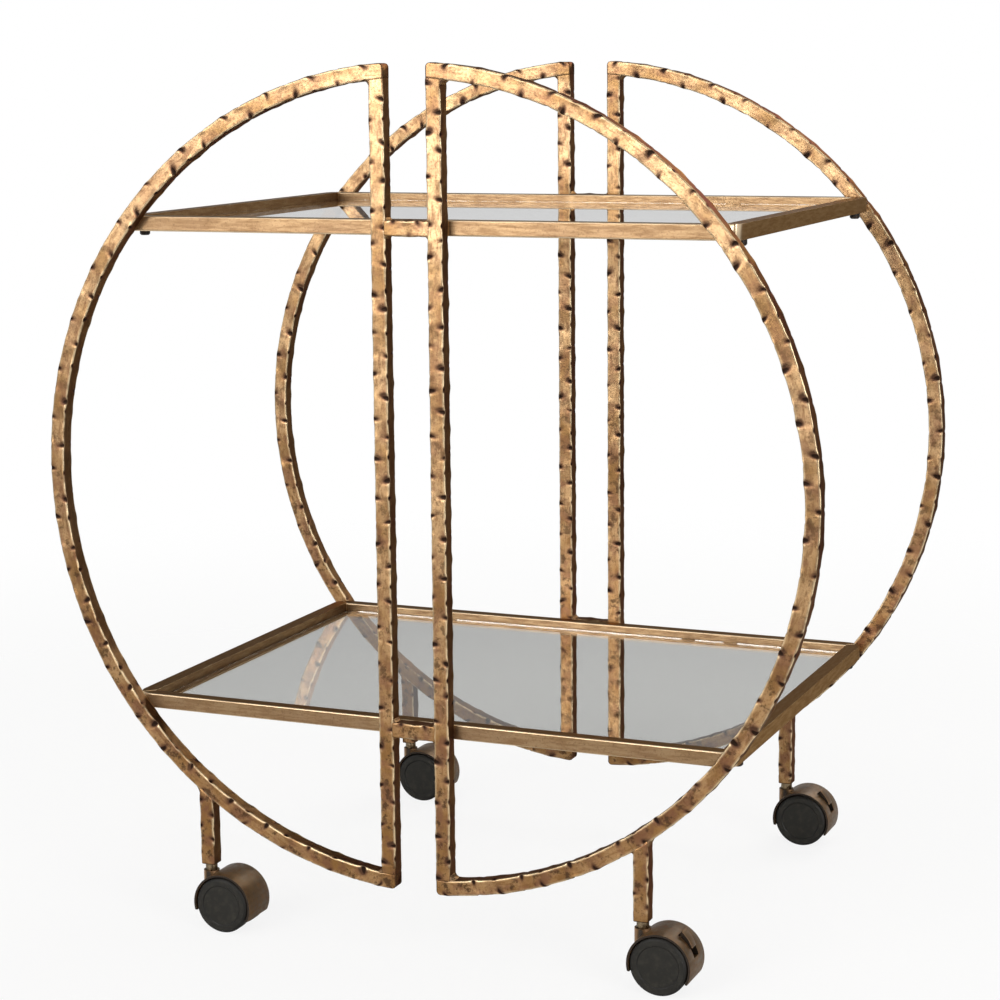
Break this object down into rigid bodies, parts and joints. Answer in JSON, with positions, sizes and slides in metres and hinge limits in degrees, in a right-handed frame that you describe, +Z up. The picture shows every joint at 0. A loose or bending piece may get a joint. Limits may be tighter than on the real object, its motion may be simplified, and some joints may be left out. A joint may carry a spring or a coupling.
{
  "type": "bar cart",
  "caption": "Round-sided bar cart on swivel casters: hoop frames of square bar hold an upper and a lower glass shelf.",
  "frame": {"origin": "on the floor under the middle of the cart, at the centre of its footprint", "axes": "+Z up, +X to the right when facing the front hoop, +Y from the front hoop to the rear hoop"},
  "size_m": [0.6998, 0.4646, 0.7555],
  "materials": {
    "hammered_bronze": "hammered forged bar in antique gold over dark brown",
    "smooth_gold_rail": "smooth brushed antique gold with brown streaks",
    "shelf_glass": "clear tempered glass with a faint grey tint",
    "clear_pad": "clear bumper pad",
    "dark_bolt": "dark brown bolt head",
    "zinc_steel": "bright zinc plating",
    "hood_plastic": "antique brown bronze lacquer on moulded plastic",
    "wheel_plastic": "near-black moulded wheel"
  },
  "bodies": {
    "cart_frame": {"front_arc_left": "hammered_bronze", "front_arc_right": "hammered_bronze", "front_upright_left": "hammered_bronze", "front_upright_right": "hammered_bronze", "front_spacer_upper": "hammered_bronze", "front_spacer_lower": "hammered_bronze", "leg_front_left": "hammered_bronze", "leg_front_right": "hammered_bronze", "rear_arc_left": "hammered_bronze", "rear_arc_right": "hammered_bronze", "rear_upright_left": "hammered_bronze", "rear_upright_right": "hammered_bronze", "rear_spacer_upper": "hammered_bronze", "rear_spacer_lower": "hammered_bronze", "leg_rear_left": "hammered_bronze", "leg_rear_right": "hammered_bronze", "upper_rail_front": "smooth_gold_rail", "upper_rail_rear": "smooth_gold_rail", "upper_rail_left": "smooth_gold_rail", "upper_rail_right": "smooth_gold_rail", "upper_glass_ledges": "smooth_gold_rail", "upper_glass_pads": "clear_pad", "upper_glass": "shelf_glass", "upper_shelf_bolts": "dark_bolt", "lower_rail_front": "smooth_gold_rail", "lower_rail_rear": "smooth_gold_rail", "lower_rail_left": "smooth_gold_rail", "lower_rail_right": "smooth_gold_rail", "lower_glass_ledges": "smooth_gold_rail", "lower_glass_pads": "clear_pad", "lower_glass": "shelf_glass", "lower_shelf_bolts": "dark_bolt", "stem_front_left": "zinc_steel", "stem_front_right": "zinc_steel", "stem_rear_left": "zinc_steel", "stem_rear_right": "zinc_steel", "stem_retaining_rings": "zinc_steel"},
    "caster_front_left": {"hood_front_left": "hood_plastic", "axle_front_left": "zinc_steel"},
    "wheel_front_left_near": {"wheel_front_left_near": "wheel_plastic"},
    "wheel_front_left_far": {"wheel_front_left_far": "wheel_plastic"},
    "caster_front_right": {"hood_front_right": "hood_plastic", "axle_front_right": "zinc_steel", "brake_pin_front": "zinc_steel"},
    "wheel_front_right_near": {"wheel_front_right_near": "wheel_plastic"},
    "wheel_front_right_far": {"wheel_front_right_far": "wheel_plastic"},
    "brake_lever_front": {"brake_lever_front": "hood_plastic"},
    "caster_rear_left": {"hood_rear_left": "hood_plastic", "axle_rear_left": "zinc_steel"},
    "wheel_rear_left_near": {"wheel_rear_left_near": "wheel_plastic"},
    "wheel_rear_left_far": {"wheel_rear_left_far": "wheel_plastic"},
    "caster_rear_right": {"hood_rear_right": "hood_plastic", "axle_rear_right": "zinc_steel", "brake_pin_rear": "zinc_steel"},
    "wheel_rear_right_near": {"wheel_rear_right_near": "wheel_plastic"},
    "wheel_rear_right_far": {"wheel_rear_right_far": "wheel_plastic"},
    "brake_lever_rear": {"brake_lever_rear": "hood_plastic"}
  },
  "joints": [
    {"name": "swivel_front_left", "type": "hinge", "parent": "cart_frame", "child": "caster_front_left", "pos_m": [-0.2025, -0.2125, 0.045], "axis": [0, 0, 1], "continuous": true},
    {"name": "spin_front_left_near", "type": "hinge", "parent": "caster_front_left", "child": "wheel_front_left_near", "pos_m": [-0.183, -0.226, 0.025], "axis": [0, 1, 0], "continuous": true},
    {"name": "spin_front_left_far", "type": "hinge", "parent": "caster_front_left", "child": "wheel_front_left_far", "pos_m": [-0.183, -0.199, 0.025], "axis": [0, 1, 0], "continuous": true},
    {"name": "swivel_front_right", "type": "hinge", "parent": "cart_frame", "child": "caster_front_right", "pos_m": [0.2025, -0.2125, 0.045], "axis": [0, 0, 1], "continuous": true},
    {"name": "spin_front_right_near", "type": "hinge", "parent": "caster_front_right", "child": "wheel_front_right_near", "pos_m": [0.222, -0.226, 0.025], "axis": [0, 1, 0], "continuous": true},
    {"name": "spin_front_right_far", "type": "hinge", "parent": "caster_front_right", "child": "wheel_front_right_far", "pos_m": [0.222, -0.199, 0.025], "axis": [0, 1, 0], "continuous": true},
    {"name": "brake_front", "type": "hinge", "parent": "caster_front_right", "child": "brake_lever_front", "pos_m": [0.23581, -0.2125, 0.04401], "axis": [0, 1, 0], "range_deg": [0, 12]},
    {"name": "swivel_rear_left", "type": "hinge", "parent": "cart_frame", "child": "caster_rear_left", "pos_m": [-0.2025, 0.2125, 0.045], "axis": [0, 0, 1], "continuous": true},
    {"name": "spin_rear_left_near", "type": "hinge", "parent": "caster_rear_left", "child": "wheel_rear_left_near", "pos_m": [-0.183, 0.199, 0.025], "axis": [0, 1, 0], "continuous": true},
    {"name": "spin_rear_left_far", "type": "hinge", "parent": "caster_rear_left", "child": "wheel_rear_left_far", "pos_m": [-0.183, 0.226, 0.025], "axis": [0, 1, 0], "continuous": true},
    {"name": "swivel_rear_right", "type": "hinge", "parent": "cart_frame", "child": "caster_rear_right", "pos_m": [0.2025, 0.2125, 0.045], "axis": [0, 0, 1], "continuous": true},
    {"name": "spin_rear_right_near", "type": "hinge", "parent": "caster_rear_right", "child": "wheel_rear_right_near", "pos_m": [0.222, 0.199, 0.025], "axis": [0, 1, 0], "continuous": true},
    {"name": "spin_rear_right_far", "type": "hinge", "parent": "caster_rear_right", "child": "wheel_rear_right_far", "pos_m": [0.222, 0.226, 0.025], "axis": [0, 1, 0], "continuous": true},
    {"name": "brake_rear", "type": "hinge", "parent": "caster_rear_right", "child": "brake_lever_rear", "pos_m": [0.23581, 0.2125, 0.04401], "axis": [0, 1, 0], "range_deg": [0, 12]}
  ]
}
